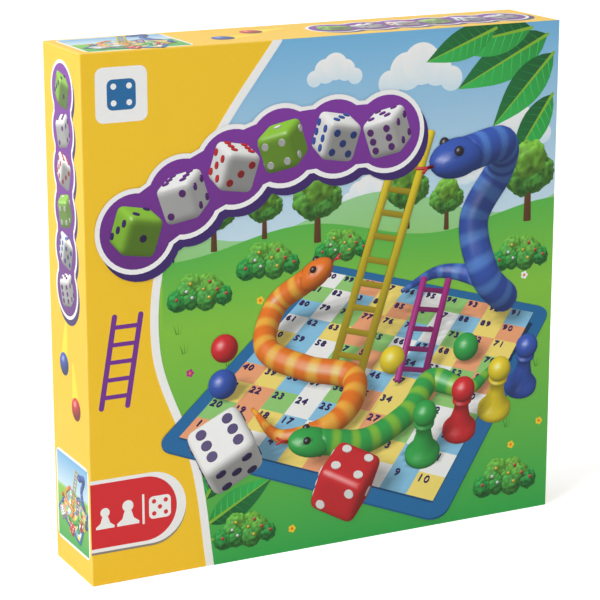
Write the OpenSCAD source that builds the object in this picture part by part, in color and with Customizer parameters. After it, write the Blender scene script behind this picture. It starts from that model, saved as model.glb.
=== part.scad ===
// Boxed snakes and ladders game: a lift-off-lid box that stands on its edge, with the
// game board, a clear tray and the moulded playing pieces packed inside it.
//
// Everything is drawn lying flat, with the back of the box on z = 0 and the lid on top.
// upright() then stands it on its lower edge: flat y becomes up, and the lid faces -Y.

/* [Box] */
// Width and height of the closed box
box_w = 270; // [262:1:320]
// Depth of the closed box, back to front
box_depth = 50; // [49:0.5:70]
// Thickness of the grey card with its printed paper wrap
card_t = 1.8; // [1.2:0.1:2]
// Radius of the folded edges
fold_r = 0.6; // [0.4:0.1:1]
// Gap between the lid and the base, on each side and at the front
lid_gap = 0.5; // [0.3:0.1:0.8]
// Strip of the base that shows behind the lid's rim
lid_reveal = 1; // [0.5:0.5:4]

/* [Board, leaflet and tray] */
// Gap between the game board and the walls of the base
board_gap = 1.9; // [1.4:0.1:3.9]
// Thickness of the game board
board_t = 2; // [1.5:0.1:3]
// Corner radius of the game board
board_r = 12; // [6:1:16]
// Width of the folded rules leaflet
leaflet_w = 200; // [120:5:240]
// Height of the folded rules leaflet
leaflet_h = 140; // [100:5:200]
// Thickness of the folded rules leaflet
leaflet_t = 0.6; // [0.4:0.1:1]
// Thickness of the clear film that the tray is formed from
film_t = 0.6; // [0.4:0.1:0.8]
// Height of the tray's top above the board
tray_h = 12; // [9:0.5:13]
// Gap between a piece and the walls of its well
well_gap = 0.6; // [0.4:0.1:0.8]

/* [Castle] */
// Distance between the axes of the two towers
castle_span = 70; // [60:1:76]
// Height of the towers
castle_h = 74; // [70:1:78]
// Radius of a tower at its battlements and at its foot
tower_r = 15.5; // [14:0.5:16.5]
// Radius of a tower's shaft
shaft_r = 12.5; // [11:0.5:13]
// Wall thickness of the castle moulding
castle_wall = 2; // [1.6:0.1:2.4]
// Width of the archway
arch_w = 32; // [26:1:34]
// Height of the castle's two walls, without their battlements
wall_h = 48; // [44:1:50]

/* [Slides] */
// Inner width of a slide's trough
trough_w = 18; // [16:0.5:19]
// Inner depth of a slide's trough
trough_d = 9; // [7:0.5:10]
// Wall thickness of a slide
slide_wall = 1.6; // [1.2:0.1:2]
// Width of the lip along each edge of a slide
lip_w = 1.5; // [1:0.1:1.8]
// Inner radius of the round pan at the top of a slide
pan_r = 12; // [11:0.5:12.5]
// Inner radius of the round pan at the foot of a slide
exit_r = 10.5; // [10:0.5:11]
// Length of the two straight arms of the long slide
long_run = 68; // [60:1:80]
// Radius of the long slide's bend
long_bend = 24; // [23:0.5:28]
// Radius of the winding slide's bends
winding_bend = 18; // [16:0.5:19]
// Length of the short slide's upper run
short_in = 26; // [18:1:30]
// Radius of the short slide's bends
short_bend = 14.5; // [14:0.5:16]
// Length of the short slide's lower run
short_out = 40; // [20:1:44]
// Height of the sockets under the slides and the landing
socket_h = 4; // [3:0.5:5]
// Radius of the posts that carry the slides
post_r = 3; // [2.5:0.1:3.2]
// Radius of a post's foot
post_foot_r = 5; // [4.5:0.1:5.2]
// Length of the tall posts
post_long = 42; // [36:1:43]
// Length of the short posts
post_short = 30; // [24:1:32]

/* [Landing] */
// Depth of the cloud-shaped landing, from its rim to its underside
landing_h = 12; // [10:0.5:14]
// Wall thickness of the landing
landing_wall = 1.8; // [1.4:0.1:2.2]

/* [Carousel] */
// Radius of the turning disc
disc_r = 29; // [28.5:0.5:30]
// Thickness of the turning disc
disc_t = 5; // [4:0.5:6]
// Height of the centre post above the disc
knob_h = 27; // [22:1:29]
// Radius of the ball on the centre post
knob_r = 5.5; // [5:0.5:6.5]
// Radius of the pin that the disc turns on
spindle_r = 3; // [2.5:0.1:3.5]
// Radius of a cup at its rim
cup_r = 8.5; // [8:0.25:8.75]
// Height of a cup
cup_h = 11; // [9:0.5:12]
// Wall thickness of a cup
cup_wall = 1.4; // [1:0.1:1.6]

/* [Bridge] */
// Length of the humped bridge
bridge_l = 80; // [76:1:83]
// Width of the humped bridge
bridge_w = 34; // [32:1:36]
// Height of the humped bridge at its tall end
bridge_h = 34; // [30:1:36]
// Wall thickness of the bridge
bridge_wall = 2; // [1.6:0.1:2.4]
// Depth of the ball channel along the top of the bridge
channel_d = 6; // [5:0.5:7]
// Length of the swinging gate on the bridge's tall end
gate_l = 14; // [12:0.5:15]
// Thickness of the gate
gate_t = 1.8; // [1.4:0.1:2]

/* [Ramp] */
// Width of the hinged ramp
ramp_w = 22; // [20:0.5:23]
// Length of the ramp's beam
beam_l = 62; // [56:1:64]
// Length of the ramp's stair
stair_l = 40; // [36:1:43]
// Height of the ramp's side rails
rail_h = 7; // [6:0.5:8]
// Wall thickness of the ramp
ramp_wall = 1.6; // [1.2:0.1:2]
// Number of treads on the stair
treads = 5; // [3:1:6]
// Radius of the pin that joins the stair to the beam
hinge_r = 1.2; // [1:0.1:1.4]

/* [Small pieces] */
// Diameter of a ball
ball_d = 14; // [12:0.5:15]
// Radius of a pawn's foot
pawn_r = 6.5; // [6:0.25:7]
// Height of a pawn
pawn_h = 25; // [20:1:28]
// Side of the die
die_w = 14; // [12:0.5:15]

/* [Hidden] */
$fn = 72;
eps = 0.01;

yellow = "#f2d324";
green = "#3fae49";
magenta = "#b3268f";
box_yellow = "#f3c52b";
piece_colours = ["#d8202c", "#f4d81c", "#12853c", "#2340b0"];

// The base nests in the lid
lid_in = box_w - 2 * card_t;
base_out = lid_in - 2 * lid_gap;
base_in = base_out - 2 * card_t;
lid_top_z = box_depth - card_t;
base_rim_z = lid_top_z - lid_gap;
board_w = base_in - 2 * board_gap;

// Heights of what is stacked in the base
board_z = card_t + leaflet_t;
film_z = board_z + board_t;
seat_z = film_z + film_t;
tray_z = film_z + tray_h;

// Gap under a round piece that lies in its well
round_gap = 0.15;
// Radial clearance of a pin that turns in its bore
running = 0.08;
// Radial clearance of a pin that is fixed in its bore
fixed = 0.02;
// Gap between faces that pass each other when a piece turns
turning_gap = 0.4;

// The tray lies on the board, and its wells keep a margin from its edge
tray_inset = 0.5;
margin = 5;
tray_w = board_w - 2 * tray_inset;
field = tray_w / 2 - margin;

// Room between neighbours, between small pieces, and for a finger at the foot of a well
gap = 10;
small_gap = 4;
finger = 4;

// Places of the pieces in the tray, each kept against the edge or neighbour it is packed by
castle_half = castle_span / 2 + tower_r;
castle_y = -46;
castle_at = [castle_half - field, castle_y];
bridge_at = [-field, castle_at.y - gap - bridge_w / 2];
gate_at = [bridge_at.x + bridge_l, bridge_at.y + gate_l / 2];
balls_inset = [3, 5];
balls_at = [ball_d / 2 - field + balls_inset.x, ball_d / 2 - field + balls_inset.y];
ball_step = ball_d + small_gap;
die_at = [balls_at.x + 3 * ball_step + (ball_d + die_w) / 2 + small_gap, balls_at.y];
fittings_w = 24;
fittings_rise = 2;
fittings_at = [die_at.x + (die_w + fittings_w) / 2 + small_gap, balls_at.y + fittings_rise];
pawns_clear = [12, 8];
pawns_at = [gate_at.x + gate_l + pawns_clear.x, bridge_at.y + pawns_clear.y];
pawn_step = 2 * pawn_r + 5;
carousel_at = [14, 10];
ramp_x = field - ramp_w / 2 - beam_l;
ramp_y = -52;

// Routes of the slides: straight runs and bends, from a starting place and heading
function straight(length) = ["straight", length];
function bend(radius, angle) = ["bend", radius, angle];
pan_reach = pan_r + slide_wall + lip_w;
exit_reach = exit_r + slide_wall + lip_w;
lead = pan_reach + 1;
exit_lead = exit_reach + 1;
long_start = [-6, 53, 180];
long_route = [straight(long_run), bend(long_bend, -180), straight(long_run)];
winding_start = [70, 50, 0];
winding_route = [straight(lead), bend(winding_bend, -180), bend(winding_bend, 180), straight(exit_lead)];
short_start = [109, -82, 180];
short_route = [straight(short_in), bend(short_bend, 90), bend(short_bend, -90), straight(short_out)];

slide_z = seat_z + socket_h;
slide_out_w = trough_w + 2 * slide_wall;
slide_h = trough_d + slide_wall;
trough_corner = 6;
pan_corner = 5;
lip_t = 1.4;
socket_r = post_r + 2;
socket_bore = 2.4;

// Posts lie in two rows between the arms of the long slide
post_foot_t = 1.6;
post_gap = 2;
posts_into_bend = 6;
posts_at = [long_start.x - long_run - posts_into_bend, long_start.y + long_bend];
post_row = 2 * post_foot_r + 1;

// The landing's lobes: x, y and radius of each
lobes = [[-36, -8, 15], [-16, 6, 19], [6, 6, 20], [26, 10, 15], [40, 14, 11], [24, -14, 12]];
landing_right = max([for (lobe = lobes) lobe.x + lobe[2]]);
landing_top = max([for (lobe = lobes) lobe.y + lobe[2]]);
landing_clear = 1;
landing_at = [field - landing_right - landing_clear, field - landing_top - landing_clear];
landing_sockets = [[-16, 6], [24, -8]];

// Runs of the carousel's stack
foot_t = 3;
foot_r = disc_r - 5;
disc_z = seat_z + foot_t + turning_gap;
cup_orbit = disc_r - cup_r - 2;
cup_peg_r = 2;
knob_stem_r = 4;

// Arc of the bridge's deck: it starts level at the tall end and falls to the floor at the low end
deck_h = bridge_h - channel_d;
deck_r = (pow(bridge_l, 2) + pow(deck_h, 2)) / (2 * deck_h);
gate_pin_r = 1;
gate_offset = 3;
lug_t = 2;
lug_r = 2.6;
gate_z = tray_z + turning_gap + lug_t + turning_gap;
gate_h = seat_z + deck_h - turning_gap - lug_t - turning_gap - gate_z;
door_w = gate_l - 4;

// The ramp's hinge: ears on the stair, and how far the floors keep from the axis
ear_r = 3.2;
hinge_z = seat_z + ear_r;
hinge_clear = 4;

// Stations along a route

function next_pose(pose, run) =
    run[0] == "straight"
        ? [pose.x + run[1] * cos(pose[2]), pose.y + run[1] * sin(pose[2]), pose[2]]
        : let (side = sign(run[2]), after = pose[2] + run[2],
               centre = [pose.x - side * run[1] * sin(pose[2]), pose.y + side * run[1] * cos(pose[2])])
          [centre.x + side * run[1] * sin(after), centre.y - side * run[1] * cos(after), after];

function pose_at(start, route, count) =
    count == 0 ? start : next_pose(pose_at(start, route, count - 1), route[count - 1]);

function route_end(start, route) = pose_at(start, route, len(route));

// Sweeps a 2D profile, with x to the left of the route and y up, along one run
module along_run(run) {
    if (run[0] == "straight")
        rotate([90, 0, 90]) linear_extrude(run[1]) children();
    else if (run[2] > 0)
        translate([0, run[1], 0]) rotate(-90)
            rotate_extrude(angle = run[2]) translate([run[1], 0]) children();
    else
        translate([0, -run[1], 0]) rotate(90 + run[2])
            rotate_extrude(angle = -run[2]) translate([run[1], 0]) children();
}

module along_route(start, route) {
    for (i = [0:len(route) - 1])
        let (pose = pose_at(start, route, i))
            translate([pose.x, pose.y, 0]) rotate(pose[2]) along_run(route[i]) children();
}

// Shared shapes

module upright() {
    translate([0, box_depth / 2, box_w / 2]) rotate([90, 0, 0]) children();
}

module rounded_square(size, r) {
    square([size.x - 2 * r, size.y], center = true);
    square([size.x, size.y - 2 * r], center = true);
    for (x = [-1, 1], y = [-1, 1])
        translate([x * (size.x / 2 - r), y * (size.y / 2 - r)]) circle(r);
}

module square_block(w, low, high) {
    translate([-w / 2, -w / 2, low]) cube([w, w, high - low]);
}

// A square block with its upright edges and its top edges rounded
module folded_block(w, low, high, r) {
    inner = w - 2 * r;
    translate([0, 0, low]) linear_extrude(high - r - low) rounded_square([w, w], r);
    square_block(inner, low, high);
    for (turn = [0:90:270]) rotate(turn) {
        translate([-inner / 2, inner / 2, high - r]) rotate([0, 90, 0]) cylinder(h = inner, r = r);
        translate([inner / 2, inner / 2, high - r]) sphere(r);
    }
}

// A filled U: flat floor, round corners and upright sides, standing on y = 0
module trough_shape(w, h, r) {
    intersection() {
        translate([-w / 2, 0]) square([w, h]);
        union() {
            translate([-w / 2, r]) square([w, h]);
            translate([r - w / 2, 0]) square([w - 2 * r, h]);
            for (side = [-1, 1])
                translate([side * (w / 2 - r), r]) circle(r);
        }
    }
}

module ring(outer, inner, h) {
    difference() {
        cylinder(h = h, r = outer);
        translate([0, 0, -eps]) cylinder(h = h + 2 * eps, r = inner);
    }
}

// Socket that a post plugs into, on the underside of a slide or the landing
module socket() {
    ring(socket_r, socket_bore, socket_h);
}

// Box

// A square shell with one closed face at high, open at low
module box_half(out, inside, low, high) {
    color(box_yellow) difference() {
        folded_block(out, low, high, fold_r);
        square_block(inside, low - eps, high - card_t);
    }
}

module lid() {
    box_half(box_w, lid_in, lid_reveal, box_depth);
}

// The base is a smaller lid turned over
module base() {
    translate([0, 0, base_rim_z]) mirror([0, 0, 1]) box_half(base_out, base_in, 0, base_rim_z);
}

module rules_leaflet() {
    color("white") translate([-leaflet_w / 2, -leaflet_h / 2, card_t])
        cube([leaflet_w, leaflet_h, leaflet_t]);
}

module game_board() {
    color("#7fb24a") translate([0, 0, board_z]) linear_extrude(board_t)
        rounded_square([board_w, board_w], board_r);
}

// Clear tray: a top sheet with a well for each piece and a skirt round the outside

module well(low, high) {
    translate([0, 0, low]) linear_extrude(high - low) children();
}

module route_well(start, route, grow, low, high) {
    half = slide_out_w / 2 + lip_w + grow;
    along_route(start, route)
        translate([-half, low]) square([2 * half, high - low]);
    for (pose = [start, route_end(start, route)])
        translate([pose.x, pose.y]) well(low, high) circle(half);
    translate([start.x, start.y]) well(low, high) circle(pan_reach + grow);
}

module wells(grow, low, high) {
    translate([castle_at.x, castle_at.y + (castle_h - finger) / 2]) well(low, high)
        rounded_square([2 * castle_half + 2 * grow, castle_h + finger + 2 * grow], 4 + grow);
    route_well(long_start, long_route, grow, low, high);
    route_well(winding_start, winding_route, grow, low, high);
    route_well(short_start, short_route, grow, low, high);
    posts_l = post_long + post_gap + post_short;
    translate([posts_at.x + posts_l / 2 + 1, posts_at.y]) well(low, high)
        rounded_square([posts_l + 4 + 2 * grow, 2 * post_row + 2 * grow], 3 + grow);
    translate(landing_at) well(low, high) landing_shape(-grow);
    translate(carousel_at) well(low, high) circle(disc_r + grow);
    translate([bridge_at.x + bridge_l / 2, bridge_at.y]) well(low, high)
        rounded_square([bridge_l + 2 * grow, bridge_w + 2 * grow], 2 + grow);
    ramp_low = ramp_x - stair_l - 2 * finger - 1;
    ramp_high = ramp_x + beam_l + ramp_w / 2 + 1;
    translate([(ramp_low + ramp_high) / 2, ramp_y]) well(low, high)
        rounded_square([ramp_high - ramp_low + 2 * grow, ramp_w + 2 * grow], 3 + grow);
    for (i = [0:3]) {
        translate([balls_at.x + i * ball_step, balls_at.y]) well(low, high) circle(ball_d / 2 + grow);
        translate(pawn_place(i)) well(low, high) circle(pawn_r + grow);
    }
    translate(die_at) well(low, high) rounded_square([die_w + 2 * grow, die_w + 2 * grow], 2 + grow);
    translate(fittings_at) well(low, high)
        rounded_square([fittings_w + 2 * grow, fittings_w + 2 * grow], 3 + grow);
}

module clear_tray() {
    outline = [tray_w, tray_w];
    color("#d8e8ee", 0.4) difference() {
        union() {
            translate([0, 0, tray_z - film_t]) linear_extrude(film_t) rounded_square(outline, board_r);
            translate([0, 0, film_z]) linear_extrude(tray_h) difference() {
                rounded_square(outline, board_r);
                rounded_square([tray_w - 2 * film_t, tray_w - 2 * film_t], board_r - film_t);
            }
            wells(well_gap + film_t, film_z, tray_z);
        }
        wells(well_gap, seat_z, tray_z + 1);
    }
}

// Castle, lying on its back: x across, y towards the battlements, z out of its front

module tower() {
    cup_floor = castle_h - 14;
    band_y = castle_h * 0.3;
    slit_w = 4;
    rotate([-90, 0, 0]) difference() {
        rotate_extrude() polygon([
            [0, 0], [tower_r, 0], [tower_r, 4], [shaft_r, 7],
            [shaft_r, band_y], [shaft_r + 0.8, band_y + 0.8],
            [shaft_r + 0.8, band_y + 3], [shaft_r, band_y + 3.8], [shaft_r, castle_h - 24],
            [tower_r, castle_h - 17], [tower_r, castle_h], [tower_r - castle_wall, castle_h],
            [tower_r - castle_wall, cup_floor], [0, cup_floor]
        ]);
        for (turn = [0:60:120])
            rotate(turn + 30) translate([-tower_r - 1, -3, castle_h - 6]) cube([2 * tower_r + 2, 6, 7]);
        translate([0, 0, -eps]) cylinder(h = castle_h - 26, r = shaft_r - castle_wall);
        translate([0, 0, castle_h / 2]) rotate([90, 0, 0]) {
            translate([-slit_w / 2, -5, shaft_r - 1]) cube([slit_w, 10, 5]);
            translate([0, 5, shaft_r - 1]) cylinder(h = 5, r = slit_w / 2);
        }
    }
}

module arch_shape(w) {
    rise = wall_h - 14 - arch_w / 2;
    translate([-w / 2, -1]) square([w, rise + 1]);
    translate([0, rise]) circle(w / 2);
}

module castle_panel() {
    merlon = 7;
    linear_extrude(castle_wall) difference() {
        union() {
            translate([-castle_span / 2, 0]) square([castle_span, wall_h]);
            for (i = [-1:1])
                translate([i * 2 * merlon - merlon / 2, wall_h - eps]) square([merlon, 6 + eps]);
        }
        arch_shape(arch_w);
        for (side = [-1, 1])
            translate([side * castle_span / 2 - shaft_r + 1, -1]) square([2 * shaft_r - 2, wall_h + 2]);
    }
}

module castle() {
    depth = 2 * tower_r;
    front = tower_r + 6;
    color(yellow) translate([castle_at.x, castle_at.y, seat_z + round_gap]) {
        for (side = [-1, 1])
            translate([side * castle_span / 2, 0, tower_r]) tower();
        for (z = [front, depth - front - castle_wall])
            translate([0, 0, z]) castle_panel();
        // Walkway between the two walls, for the balls
        translate([-castle_span / 2 + shaft_r - 1, wall_h - 9, depth - front])
            cube([castle_span - 2 * shaft_r + 2, castle_wall, 2 * front - depth]);
        // Raised moulding round the archway
        translate([0, 0, front + castle_wall - eps]) linear_extrude(0.8 + eps) {
            difference() {
                arch_shape(arch_w + 5);
                arch_shape(arch_w);
                translate([-castle_span, -2]) square([2 * castle_span, 2]);
            }
        }
    }
}

// Slides

module slide_section() {
    difference() {
        union() {
            trough_shape(slide_out_w, slide_h, trough_corner + slide_wall);
            translate([-slide_out_w / 2 - lip_w, slide_h - lip_t]) square([slide_out_w + 2 * lip_w, lip_t]);
        }
        translate([0, slide_wall]) trough_shape(trough_w, slide_h, trough_corner);
    }
}

// The half of a section on its axis' right, to be turned into a round pan
module right_half(reach) {
    intersection() {
        children();
        square([reach, 3 * slide_h]);
    }
}

module pan_solid(r) {
    rotate_extrude() right_half(2 * r)
        trough_shape(2 * (r + slide_wall), slide_h, pan_corner + slide_wall);
    translate([0, 0, slide_h - lip_t]) cylinder(h = lip_t, r = r + slide_wall + lip_w);
}

module pan_hollow(r) {
    translate([0, 0, slide_wall]) rotate_extrude() right_half(2 * r) trough_shape(2 * r, slide_h, pan_corner);
}

// A trough along a route, with a round pan at each end that is open towards the trough
module slide(start, route) {
    last = len(route) - 1;
    pans = [[start, pan_r, start, route[0]],
            [route_end(start, route), exit_r, pose_at(start, route, last), route[last]]];
    color(green) translate([0, 0, slide_z]) {
        difference() {
            along_route(start, route) slide_section();
            for (pan = pans)
                translate([pan[0].x, pan[0].y, 0]) pan_hollow(pan[1]);
        }
        for (pan = pans) {
            difference() {
                translate([pan[0].x, pan[0].y, 0]) pan_solid(pan[1]);
                translate([pan[0].x, pan[0].y, 0]) pan_hollow(pan[1]);
                along_route(pan[2], [pan[3]]) translate([0, slide_wall])
                    trough_shape(trough_w, slide_h, trough_corner);
            }
            translate([pan[0].x, pan[0].y, -socket_h]) socket();
        }
    }
}

module long_slide() {
    slide(long_start, long_route);
}

module winding_slide() {
    slide(winding_start, winding_route);
}

module short_slide() {
    slide(short_start, short_route);
}

// A post on its side, with its foot at x = 0 and its peg at the far end
module post(length) {
    peg = 4;
    rotate([0, 90, 0]) {
        cylinder(h = post_foot_t, r = post_foot_r);
        cylinder(h = length - peg, r = post_r);
        cylinder(h = length, r = socket_bore - running);
    }
}

module slide_posts() {
    color(green) for (row = [-1, 1])
        translate([posts_at.x, posts_at.y + row * post_row / 2, seat_z + post_foot_r + round_gap]) {
            post(post_long);
            translate([post_long + post_gap, 0, 0]) post(post_short);
        }
}

// Landing

module landing_shape(inset) {
    for (lobe = lobes)
        translate([lobe.x, lobe.y]) circle(lobe[2] - inset);
}

module cloud_landing() {
    color(yellow) translate([landing_at.x, landing_at.y, seat_z]) {
        difference() {
            translate([0, 0, socket_h]) linear_extrude(landing_h) landing_shape(0);
            translate([0, 0, socket_h + landing_wall]) linear_extrude(landing_h) landing_shape(landing_wall);
        }
        for (place = landing_sockets)
            translate([place.x, place.y, 0]) socket();
    }
}

// Carousel

module carousel_foot() {
    color(yellow) translate([carousel_at.x, carousel_at.y, seat_z]) {
        cylinder(h = foot_t, r = foot_r);
        cylinder(h = foot_t + turning_gap + disc_t - 1, r = spindle_r);
    }
}

module carousel_disc() {
    edge = 1.5;
    color(yellow) translate([carousel_at.x, carousel_at.y, disc_z]) difference() {
        rotate_extrude() polygon([
            [0, 0], [disc_r - edge, 0], [disc_r, edge], [disc_r, disc_t - edge],
            [disc_r - edge, disc_t], [0, disc_t]
        ]);
        translate([0, 0, -eps]) cylinder(h = disc_t - 1 + turning_gap, r = spindle_r + running);
        for (i = [0:3])
            rotate(45 + 90 * i) translate([cup_orbit, 0, 1]) cylinder(h = disc_t, r = cup_peg_r + fixed);
    }
}

module carousel_knob() {
    neck = knob_h - 1.5 * knob_r;
    color(yellow) translate([carousel_at.x, carousel_at.y, disc_z + disc_t]) {
        rotate_extrude() polygon([
            [0, 0], [knob_stem_r + 2, 0], [knob_stem_r, 2], [knob_stem_r - 0.5, neck - 3],
            [knob_r + 0.8, neck], [knob_r + 0.8, neck + 1.2], [0, neck + 1.2]
        ]);
        translate([0, 0, knob_h - knob_r]) sphere(knob_r);
    }
}

// A cup with its peg and ear-shaped handle; the peg goes down through z = 0
module cup(i) {
    foot = cup_r * 0.5;
    color(magenta) translate([carousel_at.x, carousel_at.y, disc_z + disc_t])
        rotate(45 + 90 * i) translate([cup_orbit, 0, 0]) {
            rotate_extrude() polygon([
                [0, 0], [foot, 0], [foot, 1.2], [cup_r - 1.2, 4.5], [cup_r, cup_h],
                [cup_r - cup_wall, cup_h], [cup_r - 1.2 - cup_wall, 5], [foot - 0.5, 2.6], [0, 2.6]
            ]);
            translate([0, 0, 1.5 - disc_t]) cylinder(h = disc_t - 1.5 + eps, r = cup_peg_r);
            rotate(100) translate([cup_r - 0.9, 0, 7]) rotate([90, 0, 0]) rotate_extrude(angle = 180)
                translate([2, 0]) circle(0.9);
        }
}

// Bridge: a humped shell with a ball channel along its back, open underneath

module arc_block(r, w) {
    translate([0, w / 2, deck_h - deck_r]) rotate([90, 0, 0]) cylinder(h = w, r = r, $fn = 200);
}

module bridge() {
    inner_w = bridge_w - 2 * bridge_wall;
    channel_w = bridge_w - 4 * bridge_wall;
    color(magenta) translate([bridge_at.x + bridge_l, bridge_at.y, seat_z]) {
        mirror([1, 0, 0]) difference() {
            intersection() {
                arc_block(deck_r + channel_d, bridge_w);
                translate([0, -bridge_w / 2, 0]) cube([bridge_l, bridge_w, bridge_h]);
            }
            // Ball channel
            difference() {
                translate([-1, -channel_w / 2, 0]) cube([bridge_l + 2, channel_w, bridge_h + 1]);
                arc_block(deck_r, bridge_w + 2);
            }
            // Hollow underneath
            intersection() {
                arc_block(deck_r - bridge_wall, inner_w);
                translate([bridge_wall, -inner_w / 2, -1]) cube([bridge_l, inner_w, bridge_h]);
            }
            // Doorway in the tall end, behind the gate
            translate([-1, -door_w / 2, gate_z - seat_z]) cube([bridge_wall + 2, door_w, gate_h]);
        }
        // Embossed curls on both sides
        for (side = [-1, 1], curl = [[-16, 16, 6.5], [-33, 13, 5], [-47, 9, 3.8]])
            translate([curl.x, side * bridge_w / 2, curl.y]) rotate([90, 0, 0])
                translate([0, 0, -0.6]) ring(curl[2], curl[2] - 1.4, 1.2);
        // Lugs that hold the gate's pin
        for (z = [gate_z - turning_gap - lug_t, gate_z + gate_h + turning_gap])
            translate([0, gate_l / 2, z - seat_z]) gate_lug();
    }
}

module gate_lug() {
    difference() {
        union() {
            translate([gate_offset, 0, 0]) cylinder(h = lug_t, r = lug_r);
            translate([-eps, -lug_r, 0]) cube([gate_offset + eps, 2 * lug_r, lug_t]);
        }
        translate([gate_offset, 0, -1]) cylinder(h = lug_t + 2, r = gate_pin_r + fixed);
    }
}

module gate_pin() {
    color(yellow) translate([gate_at.x + gate_offset, gate_at.y, gate_z - turning_gap - lug_t])
        cylinder(h = gate_h + 2 * (turning_gap + lug_t), r = gate_pin_r);
}

// The gate hangs shut across the doorway and swings out from the tall end
module gate() {
    barrel_r = 2.2;
    grip_r = 1.8;
    color(yellow) translate([gate_at.x + gate_offset, gate_at.y, gate_z]) difference() {
        union() {
            cylinder(h = gate_h, r = barrel_r);
            translate([-gate_t / 2, -gate_l, 0]) cube([gate_t, gate_l, gate_h]);
            translate([gate_t / 2 - eps, 2 * grip_r - gate_l, gate_h / 2]) rotate([0, 90, 0])
                cylinder(h = 1.6, r = grip_r);
        }
        translate([0, 0, -1]) cylinder(h = gate_h + 2, r = gate_pin_r + running);
    }
}

// Ramp: a beam with a round end, and a stair hinged to it

module ramp_beam() {
    round_r = ramp_w / 2;
    lug_w = ramp_w - 2 * ramp_wall - 2 * turning_gap;
    color(yellow) difference() {
        union() {
            translate([ramp_x + hinge_clear, ramp_y - ramp_w / 2, seat_z])
                cube([beam_l - hinge_clear, ramp_w, rail_h]);
            translate([ramp_x + beam_l, ramp_y, seat_z]) cylinder(h = rail_h, r = round_r);
            translate([ramp_x, ramp_y - lug_w / 2, seat_z + ramp_wall])
                cube([hinge_clear + 1, lug_w, ear_r]);
            translate([ramp_x, ramp_y + lug_w / 2, hinge_z]) rotate([90, 0, 0])
                cylinder(h = lug_w, r = ear_r - turning_gap);
        }
        translate([ramp_x + hinge_clear + 1, ramp_y - ramp_w / 2 + ramp_wall, seat_z + ramp_wall])
            cube([beam_l - hinge_clear - 1, ramp_w - 2 * ramp_wall, rail_h]);
        translate([ramp_x + beam_l, ramp_y, seat_z + ramp_wall])
            cylinder(h = rail_h, r = round_r - ramp_wall);
        translate([ramp_x, ramp_y + ramp_w / 2, hinge_z]) rotate([90, 0, 0])
            cylinder(h = ramp_w, r = hinge_r + running);
    }
}

module ramp_stair() {
    inner_w = ramp_w - 2 * ramp_wall;
    tread_step = (stair_l - 6) / treads;
    color(yellow) difference() {
        union() {
            translate([ramp_x - stair_l, ramp_y - ramp_w / 2, seat_z])
                cube([stair_l - hinge_clear, ramp_w, ramp_wall]);
            for (side = [-1, 1]) translate([0, ramp_y + side * (ramp_w - ramp_wall) / 2, 0]) {
                translate([ramp_x - stair_l, -ramp_wall / 2, seat_z])
                    cube([stair_l - hinge_clear + 1, ramp_wall, rail_h]);
                translate([ramp_x - hinge_clear, -ramp_wall / 2, seat_z])
                    cube([hinge_clear, ramp_wall, 2 * ear_r]);
                translate([ramp_x, ramp_wall / 2, hinge_z]) rotate([90, 0, 0])
                    cylinder(h = ramp_wall, r = ear_r);
            }
            for (i = [0:treads - 1])
                translate([ramp_x - stair_l + 1 + i * tread_step, ramp_y - inner_w / 2,
                           seat_z + ramp_wall - eps])
                    cube([tread_step * 0.45, inner_w, 2 + eps]);
        }
        translate([ramp_x, ramp_y + ramp_w / 2 + 1, hinge_z]) rotate([90, 0, 0])
            cylinder(h = ramp_w + 2, r = hinge_r + fixed);
    }
}

module ramp_pin() {
    color(yellow) translate([ramp_x, ramp_y + ramp_w / 2, hinge_z]) rotate([90, 0, 0])
        cylinder(h = ramp_w, r = hinge_r);
}

// Clear stand that carries the beam, and the bracket of the stair, packed in one well

module ramp_stand() {
    color("#d8e8ee", 0.5) translate([fittings_at.x - 5, fittings_at.y, seat_z]) difference() {
        translate([-4, -10, 0]) cube([8, 20, 16]);
        translate([-2.2, -8.2, -1]) cube([4.4, 16.4, 15.2]);
        translate([-5, -6, 12]) cube([10, 12, 5]);
    }
}

module ramp_bracket() {
    color(magenta) translate([fittings_at.x + 6, fittings_at.y, seat_z]) difference() {
        translate([-3, -9, 0]) cube([6, 18, 13]);
        translate([-1.2, -10, 2]) cube([5, 20, 12]);
        translate([-4, 0, 8]) rotate([0, 90, 0]) cylinder(h = 8, r = 2.4);
    }
}

// Balls, pawns and die

module ball(i) {
    color(piece_colours[i])
        translate([balls_at.x + i * ball_step, balls_at.y, seat_z + ball_d / 2 + round_gap])
            sphere(d = ball_d);
}

function pawn_place(i) = [pawns_at.x + (i % 2) * pawn_step, pawns_at.y - floor(i / 2) * pawn_step];

module pawn(i) {
    head_r = pawn_r * 0.62;
    neck_r = pawn_r * 0.36;
    head_z = pawn_h - head_r;
    color(piece_colours[i]) translate([pawn_place(i).x, pawn_place(i).y, seat_z]) {
        rotate_extrude() polygon([
            [0, 0], [pawn_r, 0], [pawn_r, 2.2], [pawn_r - 1.4, 4], [neck_r + 0.6, pawn_h * 0.5],
            [neck_r, head_z - head_r * 0.7], [head_r * 0.8, head_z - head_r * 0.62], [0, head_z]
        ]);
        translate([0, 0, head_z]) sphere(head_r);
    }
}

module pip(u, v) {
    translate([u * die_w * 0.25, v * die_w * 0.25, die_w * 0.58]) sphere(die_w * 0.11);
}

module pips(number) {
    if (number % 2 == 1) pip(0, 0);
    if (number > 1) for (s = [-1, 1]) pip(s, s);
    if (number > 3) for (s = [-1, 1]) pip(s, -s);
    if (number == 6) for (s = [-1, 1]) pip(s, 0);
}

module die() {
    faces = [[[0, 0, 0], 1], [[180, 0, 0], 6], [[90, 0, 0], 2],
             [[-90, 0, 0], 5], [[0, 90, 0], 3], [[0, -90, 0], 4]];
    color("white") translate([die_at.x, die_at.y, seat_z + die_w / 2]) difference() {
        intersection() {
            cube(die_w, center = true);
            sphere(die_w * 0.72);
        }
        for (face = faces)
            rotate(face[0]) pips(face[1]);
    }
}

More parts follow.
